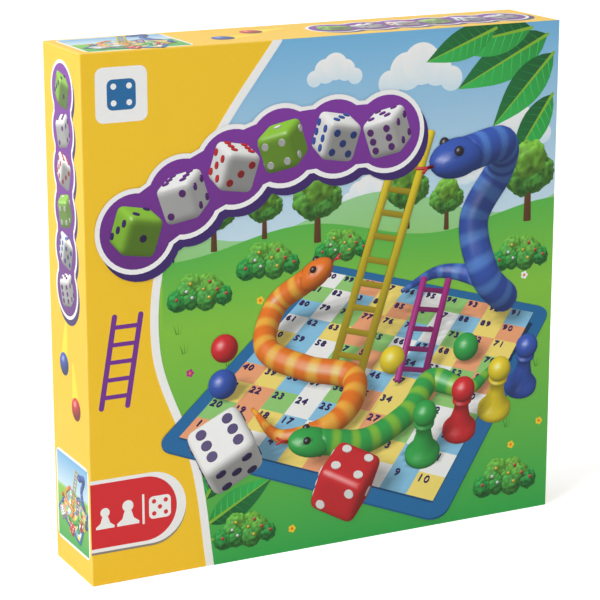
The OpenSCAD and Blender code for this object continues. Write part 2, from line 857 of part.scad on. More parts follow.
upright() lid();
upright() base();
upright() rules_leaflet();
upright() game_board();
upright() clear_tray();
upright() castle();
upright() long_slide();
upright() winding_slide();
upright() short_slide();
upright() slide_posts();
upright() cloud_landing();
upright() carousel_foot();
upright() carousel_disc();
upright() carousel_knob();
upright() cup(0);  // cup_1
upright() cup(1);  // cup_2
upright() cup(2);  // cup_3
upright() cup(3);  // cup_4
upright() bridge();
upright() gate();
upright() gate_pin();
upright() ramp_beam();
upright() ramp_stair();
upright() ramp_pin();
upright() ramp_stand();
upright() ramp_bracket();
upright() ball(0);  // ball_red
upright() ball(1);  // ball_yellow
upright() ball(2);  // ball_green
upright() ball(3);  // ball_blue
upright() pawn(0);  // pawn_red
upright() pawn(1);  // pawn_yellow
upright() pawn(2);  // pawn_green
upright() pawn(3);  // pawn_blue
upright() die();
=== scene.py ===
"""Looks of the boxed snakes and ladders game: printed card, moulded plastic, clear tray and studio."""

import math

import bmesh
import bpy
from mathutils import Euler, Matrix, Vector
from mathutils.bvhtree import BVHTree
from mathutils.geometry import normal
from mathutils.noise import noise as lump_at


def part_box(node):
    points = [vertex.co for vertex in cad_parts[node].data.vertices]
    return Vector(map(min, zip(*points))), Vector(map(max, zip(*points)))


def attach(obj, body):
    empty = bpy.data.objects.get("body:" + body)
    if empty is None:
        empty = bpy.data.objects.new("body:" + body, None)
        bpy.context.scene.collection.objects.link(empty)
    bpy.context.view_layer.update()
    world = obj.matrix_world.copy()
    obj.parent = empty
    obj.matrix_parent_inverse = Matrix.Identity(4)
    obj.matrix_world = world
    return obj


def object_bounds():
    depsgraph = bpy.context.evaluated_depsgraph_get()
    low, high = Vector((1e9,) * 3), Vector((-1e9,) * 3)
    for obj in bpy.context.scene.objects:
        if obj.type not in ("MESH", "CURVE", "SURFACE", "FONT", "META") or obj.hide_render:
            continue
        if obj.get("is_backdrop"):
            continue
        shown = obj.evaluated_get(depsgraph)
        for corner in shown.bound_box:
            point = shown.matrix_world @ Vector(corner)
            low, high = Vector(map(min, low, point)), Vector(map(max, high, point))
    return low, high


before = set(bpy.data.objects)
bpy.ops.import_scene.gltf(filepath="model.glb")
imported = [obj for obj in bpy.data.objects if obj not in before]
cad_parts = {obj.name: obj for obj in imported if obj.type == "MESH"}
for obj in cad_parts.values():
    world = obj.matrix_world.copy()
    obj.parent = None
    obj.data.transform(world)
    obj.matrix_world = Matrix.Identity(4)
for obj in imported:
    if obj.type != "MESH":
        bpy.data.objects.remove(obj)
cad_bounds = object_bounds()
MM = 0.001
# Height of one layer of print, in millimetres
INK_STEP = 0.01


def add_object(name, data):
    """New object with the given data, in the scene."""
    holder = bpy.data.objects.new(name, data)
    bpy.context.scene.collection.objects.link(holder)
    return holder


# Colours


def rgb(red, green, blue):
    """Linear colour from screen values of 0 to 255."""

    def linear(value):
        share = value / 255
        return share / 12.92 if share <= 0.04045 else ((share + 0.055) / 1.055) ** 2.4

    return (linear(red), linear(green), linear(blue))


def mix(first, second, share):
    """Colour part of the way from the first to the second."""
    return tuple(a + (b - a) * share for a, b in zip(first, second))


def shade(colour, factor):
    """Darker or lighter colour, kept in range."""
    return tuple(min(1.0, value * factor) for value in colour)


YELLOW = rgb(253, 206, 46)
DEEP_YELLOW = rgb(246, 190, 34)
WHITE = rgb(248, 248, 246)
PURPLE = rgb(118, 50, 148)
DARK_PURPLE = rgb(58, 34, 104)
LIME = rgb(146, 204, 62)
GREEN = rgb(52, 170, 78)
DARK_GREEN = rgb(24, 104, 52)
RED = rgb(219, 44, 52)
BLUE = rgb(56, 92, 186)
SKY = rgb(118, 184, 226)
PALE_SKY = rgb(212, 234, 244)
MAGENTA = rgb(182, 46, 142)
ORANGE = rgb(238, 122, 34)
TAN = rgb(226, 184, 112)
PLASTIC_YELLOW = rgb(240, 214, 50)
RIM_BLUE = rgb(34, 108, 164)
INK_BLACK = rgb(34, 28, 40)
TAB_SHADOW = rgb(140, 132, 120)
GREY_CARD = rgb(206, 200, 190)
PALE_CARD = rgb(228, 224, 214)
# Pale yellow along the folds: rubbed print, and a painted highlight on the edge
WORN_HIGHLIT_YELLOW = rgb(255, 236, 176)
BARK = rgb(150, 96, 50)
PIECE_COLOURS = (RED, PLASTIC_YELLOW, GREEN, BLUE)


# Sides that carry print, in millimetres from the middle of each side and in layers of print above it


class Side:
    """A flat side: its middle, its rightward and upward directions, and the body it rides on."""

    def __init__(self, middle, right, up, body):
        self.middle = Vector(middle)
        self.right = Vector(right)
        self.up = Vector(up)
        self.out = self.right.cross(self.up)
        self.body = body

    def place(self, point):
        """Position of a point given as right, up and layer of print."""
        across, along, layer = point
        return self.middle + (self.right * across + self.up * along + self.out * layer * INK_STEP) * MM


lid_low, lid_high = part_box("lid")
lid_middle = (lid_low + lid_high) / 2
base_low, base_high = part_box("base")
board_low, board_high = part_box("game_board")
board_middle = (board_low + board_high) / 2

FRONT = Side((lid_middle.x, lid_low.y, lid_middle.z), (1, 0, 0), (0, 0, 1), "lid")
LEFT = Side((lid_low.x, lid_middle.y, lid_middle.z), (0, -1, 0), (0, 0, 1), "lid")
RIGHT = Side((lid_high.x, lid_middle.y, lid_middle.z), (0, 1, 0), (0, 0, 1), "lid")
TOP = Side((lid_middle.x, lid_middle.y, lid_high.z), (1, 0, 0), (0, 1, 0), "lid")
BACK = Side((lid_middle.x, base_high.y, lid_middle.z), (-1, 0, 0), (0, 0, 1), "base")
BOARD = Side((board_middle.x, board_low.y, board_middle.z), (1, 0, 0), (0, 0, 1), "base")

# Half the width of the front, and the width of the board
HALF = (lid_high.x - lid_low.x) / 2 / MM
BOARD_SIDE = (board_high.x - board_low.x) / MM


# Shapes: closed solids with a colour for each face, or for each point if they are smooth


class Shape:
    """Points, faces and colours of one closed solid."""

    def __init__(self, points, faces, tints, smooth=False, casts=True, gloss=0.5):
        self.points = [Vector(point) for point in points]
        self.faces = faces
        self.tints = tints
        self.smooth = smooth
        self.casts = casts
        self.gloss = gloss

    def moved(self, matrix):
        """The same solid in another place."""
        points = [matrix @ point for point in self.points]
        return Shape(points, self.faces, self.tints, self.smooth, self.casts, self.gloss)

    def corner_normals(self):
        """For each face, the outward direction at each corner."""
        flat = [normal(*[self.points[index] for index in face]) for face in self.faces]
        if not self.smooth:
            return [[outward] * len(face) for outward, face in zip(flat, self.faces)]
        sums = [Vector() for _ in self.points]
        for outward, face in zip(flat, self.faces):
            for index in face:
                sums[index] += outward
        return [[sums[index].normalized() for index in face] for face in self.faces]

    def corner_tints(self):
        """For each face, the colour at each corner."""
        if self.smooth:
            return [[self.tints[index] for index in face] for face in self.faces]
        return [[tint] * len(face) for tint, face in zip(self.tints, self.faces)]


def prism(outline, low, high, tint):
    """Flat solid over an outline; tint is a colour or a function of a point."""
    count = len(outline)
    points = [(u, v, low) for u, v in outline] + [(u, v, high) for u, v in outline]
    faces = [tuple(reversed(range(count))), tuple(range(count, 2 * count))]
    for i in range(count):
        j = (i + 1) % count
        faces.append((i, j, count + j, count + i))
    if callable(tint):
        return Shape(points, faces, [tint(point) for point in points], smooth=True)
    return Shape(points, faces, [tint] * len(faces))


def rows_prism(rows, low, high, tint):
    """Flat solid from rows of left and right ends, so that colour can change from row to row."""
    points = []
    for left, right, v in rows:
        for height in (low, high):
            points += [(left, v, height), (right, v, height)]
    faces = []
    for i in range(len(rows) - 1):
        a, b = 4 * i, 4 * i + 4
        faces += [(a, b, b + 1, a + 1), (a + 2, a + 3, b + 3, b + 2)]
        faces += [(a, a + 2, b + 2, b), (a + 1, b + 1, b + 3, a + 3)]
    last = 4 * (len(rows) - 1)
    faces += [(0, 1, 3, 2), (last, last + 2, last + 3, last + 1)]
    return Shape(points, faces, [tint(point) for point in points], smooth=True)


def spaced(first, last, steps):
    """Evenly spaced values or points, from the first to the last."""
    return [first + (last - first) * i / steps for i in range(steps + 1)]


def full_turn(count):
    """Angles that share out a full turn."""
    return [2 * math.pi * i / count for i in range(count)]


def circle(centre, radius, count=28):
    """Outline of a circle."""
    u, v = centre
    return [(u + radius * math.cos(turn), v + radius * math.sin(turn)) for turn in full_turn(count)]


def rounded_box(centre, width, height, radius, count=6):
    """Outline of a rectangle with round corners."""
    outline = []
    for quarter, (sx, sy) in enumerate(((1, 1), (-1, 1), (-1, -1), (1, -1))):
        middle = (centre[0] + sx * (width / 2 - radius), centre[1] + sy * (height / 2 - radius))
        for i in range(count + 1):
            turn = math.pi / 2 * (quarter + i / count)
            outline.append((middle[0] + radius * math.cos(turn), middle[1] + radius * math.sin(turn)))
    return outline


def smooth_path(knots, steps):
    """Dense path through the knots, in as many dimensions as they have."""
    knots = [Vector(knot) for knot in knots]
    padded = [2 * knots[0] - knots[1]] + knots + [2 * knots[-1] - knots[-2]]
    path = []
    for a, b, c, d in zip(padded, padded[1:], padded[2:], padded[3:]):
        for i in range(steps):
            t = i / steps
            bent = 2 * b + (c - a) * t + (2 * a - 5 * b + 4 * c - d) * t ** 2
            path.append((bent + (3 * b - a - 3 * c + d) * t ** 3) / 2)
    return path + [knots[-1]]


def stroke(path, radius):
    """Outline of a flat stroke along a path, with round ends; radius may be one value per point."""
    path = [Vector(point) for point in path]
    radii = radius if isinstance(radius, list) else [radius] * len(path)
    left, right = [], []
    for i, point in enumerate(path):
        ahead = (path[min(i + 1, len(path) - 1)] - path[max(i - 1, 0)]).normalized()
        across = Vector((-ahead.y, ahead.x)) * radii[i]
        left.append(point + across)
        right.append(point - across)

    def cap(point, start, size):
        turns = spaced(start, start - math.pi, 8)[1:-1]
        return [point + size * Vector((math.cos(t), math.sin(t))) for t in turns]

    last = path[-1] - path[-2]
    first = path[0] - path[1]
    end_cap = cap(path[-1], math.atan2(last.y, last.x) + math.pi / 2, radii[-1])
    start_cap = cap(path[0], math.atan2(first.y, first.x) + math.pi / 2, radii[0])
    outline = left + end_cap + right[::-1] + start_cap
    return [tuple(point) for point in reversed(outline)]


def clipped(outline, half_width, half_height):
    """Outline cut to a rectangle about the middle."""
    for axis, limit in ((0, half_width), (1, half_height)):
        for sign in (1, -1):
            kept = []
            for a, b in zip(outline, outline[1:] + outline[:1]):
                inside_a, inside_b = sign * a[axis] <= limit, sign * b[axis] <= limit
                if inside_a:
                    kept.append(a)
                if inside_a != inside_b:
                    share = (sign * limit - a[axis]) / (b[axis] - a[axis])
                    kept.append((a[0] + (b[0] - a[0]) * share, a[1] + (b[1] - a[1]) * share))
            outline = kept
    return outline


# Pictured solids, in a space of their own: x right, y away and z up


def ring_faces(rings, sides):
    """Faces of a closed solid whose points run in rings of as many sides, from end to end."""
    faces = []
    for i in range(rings - 1):
        for k in range(sides):
            a, b = i * sides + k, i * sides + (k + 1) % sides
            faces.append((a, b, b + sides, a + sides))
    faces.append(tuple(reversed(range(sides))))
    faces.append(tuple(range((rings - 1) * sides, rings * sides)))
    return faces


def tube(path, radii, tint, sides):
    """Round tube along a path; tint is a colour, or takes the shares of the length and the turn."""
    points, tints = [], []
    across = None
    for i, point in enumerate(path):
        ahead = (path[min(i + 1, len(path) - 1)] - path[max(i - 1, 0)]).normalized()
        if across is None:
            across = ahead.orthogonal().normalized()
        across = (across - ahead * across.dot(ahead)).normalized()
        up = ahead.cross(across)
        for k, turn in enumerate(full_turn(sides)):
            points.append(point + (across * math.cos(turn) + up * math.sin(turn)) * radii[i])
            tints.append(tint(i / (len(path) - 1), k / sides) if callable(tint) else tint)
    return Shape(points, ring_faces(len(path), sides), tints, smooth=True)


def lathe(profile, colour, sides=24):
    """Solid turned about the z axis from radius and height pairs, from the bottom up."""
    points = []
    for radius, height in profile:
        for x, y in circle((0, 0), max(radius, 0.01), sides):
            points.append((x, y, height))
    return Shape(points, ring_faces(len(profile), sides), [colour] * len(points), smooth=True)


def ball(centre, radius, colour, stretch=(1, 1, 1), turn=None, steps=14):
    """Round or stretched ball."""
    profile = [(radius * math.sin(t), -radius * math.cos(t)) for t in spaced(0, math.pi, steps)]
    scale = Matrix.Diagonal((*stretch, 1))
    place = Matrix.Translation(centre) @ (turn or Matrix.Identity(4)) @ scale
    return lathe(profile, colour, 2 * steps - 4).moved(place)


def foliage(centre, radius, colour):
    """Leafy head: a matt ball with small lumps, darker in the hollows between them."""
    lumps_across, lump_height, lump_shade = 3.4, 0.2, 0.9
    head = ball(Vector(), 1, colour, steps=18)
    for i, point in enumerate(head.points):
        lump = lump_at(point * lumps_across + centre)
        head.points[i] = centre + point * radius * (1 + lump_height * lump)
        head.tints[i] = shade(colour, 1 + lump_shade * lump)
    head.gloss = 0.05
    return head


def pawn(centre, colour, size):
    """Turned playing piece with a round head."""
    profile = [(9, 0), (9, 3), (7.5, 5), (5.5, 8), (4, 14), (3.4, 19), (5, 20), (5, 21.5), (3.4, 22)]
    for turn in spaced(math.pi / 4, math.pi, 9):
        profile.append((6 * math.sin(turn), 26.5 - 6 * math.cos(turn)))
    return lathe(profile, colour).moved(Matrix.Translation(centre) @ Matrix.Scale(size, 4))


CORNER_PIPS = ((-1, -1), (-1, 1), (1, -1), (1, 1))
PIP_PLACES = {
    1: ((0, 0),),
    2: ((-1, -1), (1, 1)),
    3: ((-1, -1), (0, 0), (1, 1)),
    4: CORNER_PIPS,
    5: CORNER_PIPS + ((0, 0),),
    6: CORNER_PIPS + ((-1, 0), (1, 0)),
}


def turned(*degrees):
    """Turn about the three axes."""
    return Euler([math.radians(value) for value in degrees]).to_matrix().to_4x4()


def mesh_parts(solid):
    """Points and faces of an edited mesh, which is then let go."""
    solid.verts.index_update()
    points = [vertex.co.copy() for vertex in solid.verts]
    faces = [tuple(vertex.index for vertex in face.verts) for face in solid.faces]
    solid.free()
    return points, faces


def die(centre, size, turn, colour, pip_colour, front, top, side):
    """Die with rounded edges and the given numbers in front, on top and on its right side."""
    solid = bmesh.new()
    bmesh.ops.create_cube(solid, size=size)
    bmesh.ops.subdivide_edges(solid, edges=solid.edges[:], cuts=9, use_grid_fill=True)
    corner = size * 0.16
    core = size / 2 - corner
    for vertex in solid.verts:
        inner = Vector(max(-core, min(core, value)) for value in vertex.co)
        vertex.co = inner + (vertex.co - inner).normalized() * corner if vertex.co != inner else inner
    points, faces = mesh_parts(solid)
    place = Matrix.Translation(centre) @ turn
    shapes = [Shape(points, faces, [colour] * len(points), smooth=True).moved(place)]
    lift = Matrix.Translation((0, 0, size / 2))
    # Opposite faces of a die add up to seven
    facings = ((front, (90, 0, 0)), (top, (0, 0, 0)), (side, (90, 0, 90)), (7 - side, (90, 0, -90)))
    for number, facing in facings:
        for u, v in PIP_PLACES[number]:
            dot = prism(circle((u * size * 0.25, v * size * 0.25), size * 0.095, 18), 0, 0.6, pip_colour)
            dot.casts = False
            shapes.append(dot.moved(place @ turned(*facing) @ lift))
    return shapes


def ladder(foot, head, width, rungs, colour):
    """Ladder with two rails and evenly spaced rungs."""
    foot, head = Vector(foot), Vector(head)
    across = (head - foot).cross(Vector((0, 0, 1))).normalized() * width / 2
    shapes = []
    for sign in (1, -1):
        rail = [foot + sign * across, head + sign * across]
        shapes.append(tube(rail, [width * 0.13] * 2, colour, 12))
    for i in range(rungs):
        middle = foot.lerp(head, (i + 0.6) / (rungs + 0.2))
        rung = [middle - across, middle + across]
        shapes.append(tube(rung, [width * 0.09] * 2, shade(colour, 1.1), 10))
    return shapes


def snake(knots, radius, colour, band):
    """Banded snake that tapers to its tail, with a plain head."""
    path = smooth_path(knots, 12)
    count = len(path)
    radii = [radius * min(1.0, 0.14 + 2.6 * i / count) for i in range(count)]
    bands = max(6, int(count / 5))

    def tint(length, turn):
        belly = 0.5 + 0.5 * math.cos(2 * math.pi * turn)
        stripe = 1 if math.sin(2 * math.pi * bands * length) > 0.25 else 0
        return mix(mix(colour, band, 0.85 * stripe), shade(colour, 1.35), 0.25 * belly)

    shapes = [tube(path, radii, tint, 18)]
    ahead = (path[-1] - path[-4]).normalized()
    turn = ahead.to_track_quat("Y", "Z").to_matrix().to_4x4()
    head = path[-1] + ahead * radius * 0.7
    shapes.append(ball(head, radius * 1.3, colour, (1.0, 1.45, 0.78), turn))
    for sign in (1, -1):
        place = head + (turn @ Vector((sign * 0.72, 0.55, 0.72))) * radius
        shapes.append(ball(place, radius * 0.3, INK_BLACK))
    tip = head + ahead * radius * 1.7
    middle = tip + ahead * radius * 0.6
    for sign in (1, -1):
        end = middle + turn @ Vector((sign * radius * 0.35, radius * 0.5, 0))
        shapes.append(tube([tip, middle, end], [radius * 0.09] * 3, RED, 8))
    return shapes


# The numbered board, used in the pictures and inside the box


CELLS = 10
CELL_COLOURS = (rgb(250, 226, 120), rgb(150, 208, 120), rgb(140, 200, 232), rgb(244, 168, 122), WHITE)


def cell_number(column, row):
    """Number of a cell, counted to and fro from the bottom left."""
    along = column if row % 2 == 0 else CELLS - 1 - column
    return row * CELLS + along + 1


def digit_meshes():
    """Outlines of the ten digits as closed solids of unit size, from the built-in type."""
    made = []
    for digit in range(10):
        curve = bpy.data.curves.new("digit", "FONT")
        curve.body = str(digit)
        curve.extrude = 0.5
        curve.resolution_u = 2
        holder = add_object("digit", curve)
        bpy.context.view_layer.update()
        mesh = bpy.data.meshes.new_from_object(holder)
        solid = bmesh.new()
        solid.from_mesh(mesh)
        bmesh.ops.remove_doubles(solid, verts=solid.verts[:], dist=1e-5)
        bmesh.ops.recalc_face_normals(solid, faces=solid.faces[:])
        made.append(mesh_parts(solid))
        bpy.data.objects.remove(holder)
        bpy.data.curves.remove(curve)
        bpy.data.meshes.remove(mesh)
    return made


DIGITS = digit_meshes()


def number_shapes(number, centre, size, low, high):
    """Digits of a number about a point, as flat solids."""
    shapes = []
    text = str(number)
    for i, digit in enumerate(text):
        points, faces = DIGITS[int(digit)]
        left = centre.x + (i - len(text) / 2) * size * 0.58
        foot = centre.y - 0.35 * size
        flat = [(left + p.x * size, foot + p.y * size, high if p.z > 0 else low) for p in points]
        shapes.append(Shape(flat, faces, [DARK_PURPLE] * len(faces), casts=False))
    return shapes


def cell_middle(number, side):
    """Middle of a numbered cell, measured from the middle of the board."""
    row = (number - 1) // CELLS
    along = (number - 1) % CELLS
    column = along if row % 2 == 0 else CELLS - 1 - along
    step = side / CELLS
    return Vector(((column + 0.5) * step - side / 2, (row + 0.5) * step - side / 2))


def cells_shape(side, low, high, parts):
    """Slab of coloured cells; each cell is cut into parts so that shadows can fall across it."""
    count = CELLS * parts
    marks = spaced(-side / 2, side / 2, count)
    points = [(u, v, height) for height in (low, high) for v in marks for u in marks]
    # Steps in the list of points to the next row and to the upper side
    step, rise = count + 1, (count + 1) ** 2
    faces, tints = [], []
    for j in range(count):
        for i in range(count):
            row = j // parts
            tint = CELL_COLOURS[(cell_number(i // parts, row) * 3 + row) % len(CELL_COLOURS)]
            a = j * step + i
            b = a + rise
            faces += [(a, a + step, a + step + 1, a + 1), (b, b + 1, b + step + 1, b + step)]
            tints += [tint, tint]
    ring = list(range(count))
    ring += [i * step + count for i in range(count)]
    ring += [rise - 1 - i for i in range(count)]
    ring += [(count - i) * step for i in range(count)]
    for a, b in zip(ring, ring[1:] + ring[:1]):
        faces.append((a, b, rise + b, rise + a))
        tints.append(RIM_BLUE)
    return Shape(points, faces, tints)


def board_numbers(side, offset, size, low, high):
    """Number of each cell; the offset from its middle and the size are shares of the cell."""
    step = side / CELLS
    shapes = []
    for number in range(1, CELLS ** 2 + 1):
        place = cell_middle(number, side) + Vector(offset) * step
        shapes += number_shapes(number, place, step * size, low, high)
    return shapes


def numbered_board(side, low, parts, numbers):
    """Board with a rim, coloured cells and their numbers."""
    rim = side * 0.06
    shapes = [prism(rounded_box((0, 0), side + 2 * rim, side + 2 * rim, rim), low, low + 1.5, RIM_BLUE)]
    shapes.append(cells_shape(side, low + 1.5, low + 3, parts))
    if numbers:
        shapes += board_numbers(side, (-0.18, 0.24), 0.42, low + 3, low + 4)
    return shapes


# Light on the pictured solids, and flattening of a picture to a thin layer of print


# Direction to the lamp, its breadth, and the light that comes from all round, the sky and the lamp
PICTURE_LIGHT = Vector((-0.5, -0.45, 0.95)).normalized()
LAMP_BREADTH = 0.16
ALL_ROUND, FROM_SKY, FROM_LAMP = 0.2, 0.22, 0.72
HIGHLIGHT_SHARPNESS = 40


class View:
    """Pinhole camera for a picture: where it stands, what it looks at, and where that falls on the side."""

    def __init__(self, eye, target, lens, at):
        self.eye = Vector(eye)
        self.at = at
        self.lens = lens
        self.turn = (Vector(target) - self.eye).to_track_quat("-Z", "Y").to_matrix().inverted()

    def project(self, point):
        """Right, up and depth of a point in the picture."""
        local = self.turn @ (point - self.eye)
        scale = self.lens / -local.z
        return self.at[0] + local.x * scale, self.at[1] + local.y * scale, -local.z


def light_rays():
    """Directions towards a broad lamp, for soft shadows."""
    side = PICTURE_LIGHT.orthogonal().normalized()
    other = PICTURE_LIGHT.cross(side)
    rays = [PICTURE_LIGHT]
    for turn in full_turn(6):
        rays.append(PICTURE_LIGHT + LAMP_BREADTH * (side * math.cos(turn) + other * math.sin(turn)))
    return [ray.normalized() for ray in rays]


def caster_tree(shapes):
    """Search tree of the solids that cast shadows."""
    points, faces = [], []
    for shape in shapes:
        if shape.casts:
            start = len(points)
            points += shape.points
            faces += [tuple(index + start for index in face) for face in shape.faces]
    return BVHTree.FromPolygons(points, faces)


def lit(shapes, view):
    """For each shape, its faces' corner colours under the picture's lamp."""
    rays = light_rays()
    tree = caster_tree(shapes)
    result = []
    for shape in shapes:
        known = {}
        coloured = []
        for face, outwards, tints in zip(shape.faces, shape.corner_normals(), shape.corner_tints()):
            corners = []
            for index, outward, tint in zip(face, outwards, tints):
                point = shape.points[index]
                key = (index, *(round(value, 2) for value in outward))
                if key not in known:
                    start = point + outward * 0.4
                    open_rays = [ray for ray in rays if tree.ray_cast(start, ray)[0] is None]
                    known[key] = len(open_rays) / len(rays)
                half = ((view.eye - point).normalized() + PICTURE_LIGHT).normalized()
                diffuse = max(0.0, outward.dot(PICTURE_LIGHT)) * known[key]
                sky = 0.5 + 0.5 * outward.z
                gloss = shape.gloss * max(0.0, outward.dot(half)) ** HIGHLIGHT_SHARPNESS * known[key]
                light = ALL_ROUND + FROM_SKY * sky + FROM_LAMP * diffuse
                corners.append(tuple(min(1.0, value * light + gloss) for value in tint))
            coloured.append(corners)
        result.append(coloured)
    return result


def flattened(shapes, view, low, thickness):
    """The picture of the solids as thin solids on a side; nearer ones lie higher."""
    colours = lit(shapes, view)
    seen = [[view.project(point) for point in shape.points] for shape in shapes]
    depths = [depth for points in seen for _, _, depth in points]
    near, far = min(depths), max(depths)
    flat = []
    for shape, points, tints in zip(shapes, seen, colours):
        placed = [(u, v, low + thickness * (far - depth) / (far - near)) for u, v, depth in points]
        flat.append((placed, shape.faces, tints))
    return flat


def plain(shapes):
    """Flat shapes as they are, without a picture's light."""
    return [([tuple(p) for p in shape.points], shape.faces, shape.corner_tints()) for shape in shapes]


# Materials


def new_material(name):
    """Material with its node tree and its shader node."""
    material = bpy.data.materials.new(name)
    material.use_nodes = True
    tree = material.node_tree
    return material, tree, tree.nodes["Principled BSDF"]


def feed(tree, slot, value):
    """Links a socket to an input, or sets the input to a plain value or colour."""
    if isinstance(value, bpy.types.NodeSocket):
        tree.links.new(value, slot)
    else:
        slot.default_value = (*value, 1) if slot.type == "RGBA" else value


def set_up(tree, node, **values):
    """Feeds a node's inputs, or makes its settings, by name; in an input's name _ stands for a space."""
    for key, value in values.items():
        label = key.replace("_", " ")
        if label in node.inputs:
            feed(tree, node.inputs[label], value)
        else:
            setattr(node, key, value)
    return node


def add_node(tree, kind, **values):
    """New node of a kind, set up by name."""
    return set_up(tree, tree.nodes.new(kind), **values)


def math_node(tree, operation, *values):
    """Result of math on linked or plain values."""
    node = add_node(tree, "ShaderNodeMath", operation=operation)
    for slot, value in zip(node.inputs, values):
        feed(tree, slot, value)
    return node.outputs[0]


def mixed(tree, share, first, second):
    """Mix of two colours; each is a colour or a socket, and so is the share."""
    node = add_node(tree, "ShaderNodeMix", data_type="RGBA")
    for index, value in ((0, share), (6, first), (7, second)):
        feed(tree, node.inputs[index], value)
    return node.outputs[2]


def object_place(tree):
    """Place of a point on the object."""
    return add_node(tree, "ShaderNodeTexCoord").outputs["Object"]


def noise(tree, scale, detail=3, stretch=(1, 1, 1)):
    """Noise over the surface."""
    mapping = add_node(tree, "ShaderNodeMapping", Vector=object_place(tree), Scale=stretch)
    place = mapping.outputs["Vector"]
    return add_node(tree, "ShaderNodeTexNoise", Vector=place, Scale=scale, Detail=detail).outputs["Fac"]


def ranged(tree, value, low, high, start=0, end=1):
    """A value that goes from start to end, spread between low and high."""
    limits = {"From_Min": start, "From_Max": end, "To_Min": low, "To_Max": high}
    return add_node(tree, "ShaderNodeMapRange", Value=value, **limits).outputs["Result"]


def bumped(tree, shader, height, strength, distance):
    """Bump on the shader from a height."""
    bump = add_node(tree, "ShaderNodeBump", Height=height, Strength=strength, Distance=distance)
    set_up(tree, shader, Normal=bump.outputs["Normal"])


def coated(tree, shader, colour):
    """Finish of coated print: faint mottle, light gloss and the wrap's soft waviness."""
    wave = noise(tree, 26, 2)
    mottle = ranged(tree, noise(tree, 900), 0, 0.07)
    speck = (0.2, 0.16, 0.1)
    set_up(
        tree, shader,
        Base_Color=mixed(tree, mottle, colour, speck),
        Roughness=ranged(tree, wave, 0.34, 0.44),
        Specular_IOR_Level=0.15,
        Coat_Weight=0.03,
        Coat_Roughness=0.18,
    )
    bumped(tree, shader, wave, 0.06, 0.0006)


def ink_material():
    """Print whose colour is held by the mesh."""
    material, tree, shader = new_material("print_ink")
    coated(tree, shader, add_node(tree, "ShaderNodeVertexColor", layer_name="ink").outputs["Color"])
    return material


# Depth of the printed wrap, its turn-in at the rim and the pale strip along a fold, of rubbed print with a
# painted highlight, in metres
WRAP_DEPTH = 0.0004
TURN_IN = 0.015
WORN_HIGHLIT_FOLD = 0.0009


def card_material(name, node, front_is_closed):
    """Wrapped card: yellow print outside and turned in at the rim, grey card inside."""
    low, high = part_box(node)
    middle = (low + high) / 2
    half = (high.x - low.x) / 2
    material, tree, shader = new_material(name)

    def calc(operation, *values):
        return math_node(tree, operation, *values)

    # Distances from the outside: of the closed face, of the sides, and of the top and underside
    across, depth, up = add_node(tree, "ShaderNodeSeparateXYZ", Vector=object_place(tree)).outputs
    from_face = calc("SUBTRACT", depth, low.y) if front_is_closed else calc("SUBTRACT", high.y, depth)
    from_side = calc("SUBTRACT", half, calc("ABSOLUTE", calc("SUBTRACT", across, middle.x)))
    from_top = calc("SUBTRACT", half, calc("ABSOLUTE", calc("SUBTRACT", up, middle.z)))
    nearer = calc("MINIMUM", from_side, from_top)
    farther = calc("MAXIMUM", from_side, from_top)
    outside = calc("LESS_THAN", calc("MINIMUM", nearer, from_face), WRAP_DEPTH)
    rim = calc("GREATER_THAN", from_face, high.y - low.y - TURN_IN)
    printed = calc("MAXIMUM", outside, rim)
    inner = mixed(tree, noise(tree, 700, 4, (1, 0.4, 1)), GREY_CARD, PALE_CARD)
    outer = mixed(tree, ranged(tree, noise(tree, 9, 2), 0, 0.3), YELLOW, DEEP_YELLOW)
    # Two of the three distances are small along a fold, where the print is made paler in patches: rubbed
    # wear, and a painted highlight along the edge
    to_fold = calc("MAXIMUM", nearer, calc("MINIMUM", farther, from_face))
    patches = ranged(tree, noise(tree, 130, 4), 0.05, 0.5)
    worn_highlight = calc("MULTIPLY", ranged(tree, to_fold, 0, 1, WORN_HIGHLIT_FOLD, 0), patches)
    outer = mixed(tree, worn_highlight, outer, WORN_HIGHLIT_YELLOW)
    coated(tree, shader, mixed(tree, printed, inner, outer))
    return material


def plastic_material(name, colour, alpha=1.0, roughness=0.22):
    """Moulded plastic: slight flow marks in colour and gloss, and a fine surface ripple."""
    material, tree, shader = new_material(name)
    flow = noise(tree, 34, 4, (1, 1, 2.4))
    tone = mixed(tree, flow, shade(colour, 0.9), shade(colour, 1.06))
    gloss = ranged(tree, flow, roughness - 0.05, roughness + 0.08)
    set_up(tree, shader, Base_Color=tone, Roughness=gloss, Alpha=alpha, Coat_Weight=0.2)
    bumped(tree, shader, noise(tree, 420, 2), 0.04, 0.0003)
    return material


def paper_material(name, colour):
    """Uncoated paper with faint fibres."""
    material, tree, shader = new_material(name)
    fibres = noise(tree, 800, 5)
    set_up(tree, shader, Base_Color=mixed(tree, fibres, shade(colour, 0.93), colour), Roughness=0.8)
    bumped(tree, shader, fibres, 0.15, 0.0002)
    return material


INK = ink_material()
SLOT_MATERIALS = {
    "leaflet_paper": paper_material("leaflet_paper", rgb(240, 238, 230)),
    "printed_board": plastic_material("board_card", RIM_BLUE, roughness=0.4),
    "clear_film": plastic_material("clear_film", rgb(235, 244, 248), 0.14, 0.12),
    "clear_plastic": plastic_material("clear_plastic", rgb(225, 238, 245), 0.4, 0.12),
}
PLASTICS = {
    "yellow_plastic": PLASTIC_YELLOW,
    "green_plastic": rgb(64, 176, 84),
    "magenta_plastic": MAGENTA,
    "white_plastic": WHITE,
    "red_pieces": RED,
    "yellow_pieces": PLASTIC_YELLOW,
    "green_pieces": GREEN,
    "blue_pieces": BLUE,
}
SLOT_MATERIALS.update({name: plastic_material(name, colour) for name, colour in PLASTICS.items()})


def dress_nodes():
    """Gives each CAD solid the material of its slot."""
    own = {
        "lid": card_material("lid_card", "lid", True),
        "base": card_material("base_card", "base", False),
    }
    for name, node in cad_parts.items():
        for slot in node.material_slots:
            base_name = slot.material.name.split(".")[0] if slot.material else ""
            slot.material = own.get(name) or SLOT_MATERIALS[base_name]


# Print pieces


